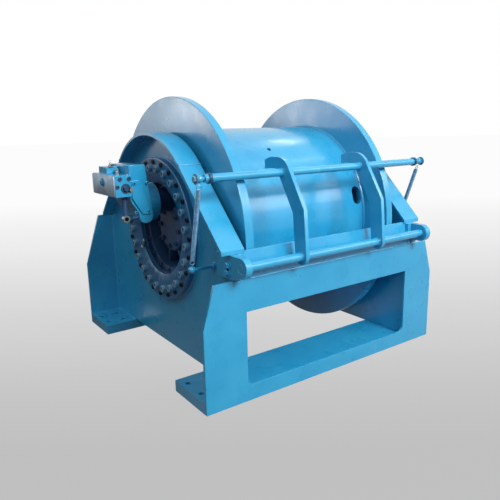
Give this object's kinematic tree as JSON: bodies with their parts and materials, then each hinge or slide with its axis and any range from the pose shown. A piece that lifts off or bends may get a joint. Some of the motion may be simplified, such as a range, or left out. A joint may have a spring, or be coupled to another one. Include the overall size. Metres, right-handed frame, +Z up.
{
  "type": "mooring winch",
  "caption": "Hydraulic mooring winch: flanged rope drum between two plate side frames on windowed base beams, with a sprung rope guard and side drive.",
  "frame": {"origin": "on the floor, midway between the four bolted foot ends", "axes": "+X along the drum axis away from the drive end, +Y to the back away from the rope guard, +Z up"},
  "size_m": [1.609, 1.56, 1.369],
  "materials": {
    "blue_paint": "glossy blue enamel",
    "steel": "bare or zinc plated steel"
  },
  "bodies": {
    "frame": {"bearing_cover": "blue_paint", "bearing_flange": "blue_paint", "bearing_housing": "blue_paint", "drain_pipe": "steel", "drive_ring": "blue_paint", "front_foot": "blue_paint", "front_lip": "blue_paint", "front_plate": "blue_paint", "gear_case": "blue_paint", "left_band": "blue_paint", "left_ear": "blue_paint", "left_tie": "steel", "left_web": "blue_paint", "motor_body": "blue_paint", "motor_flange": "blue_paint", "port_plate": "blue_paint", "rear_foot": "blue_paint", "rear_plate": "blue_paint", "relief_block": "blue_paint", "right_band": "blue_paint", "right_ear": "blue_paint", "right_tie": "steel", "right_web": "blue_paint", "tie_anchors": "steel", "valve_block": "blue_paint"},
    "drum": {"drum_barrel": "blue_paint", "drum_journal": "steel", "left_flange": "blue_paint", "right_flange": "blue_paint"},
    "guard": {"guard_eyes": "steel", "guard_low_tube": "blue_paint", "guard_up_tube": "blue_paint", "left_arm": "blue_paint", "right_arm": "blue_paint"}
  },
  "joints": [
    {"name": "drum_spin", "type": "hinge", "parent": "frame", "child": "drum", "pos_m": [0, -0.02, 0.699], "axis": [1, 0, 0], "continuous": true},
    {"name": "guard_pivot", "type": "hinge", "parent": "frame", "child": "guard", "pos_m": [0, -0.786, 0.641], "axis": [1, 0, 0], "range_deg": [0, 14], "stiffness_Nm_per_rad": 80, "springref_deg": -14.32, "deforming": ["left_tie", "right_tie"]}
  ]
}
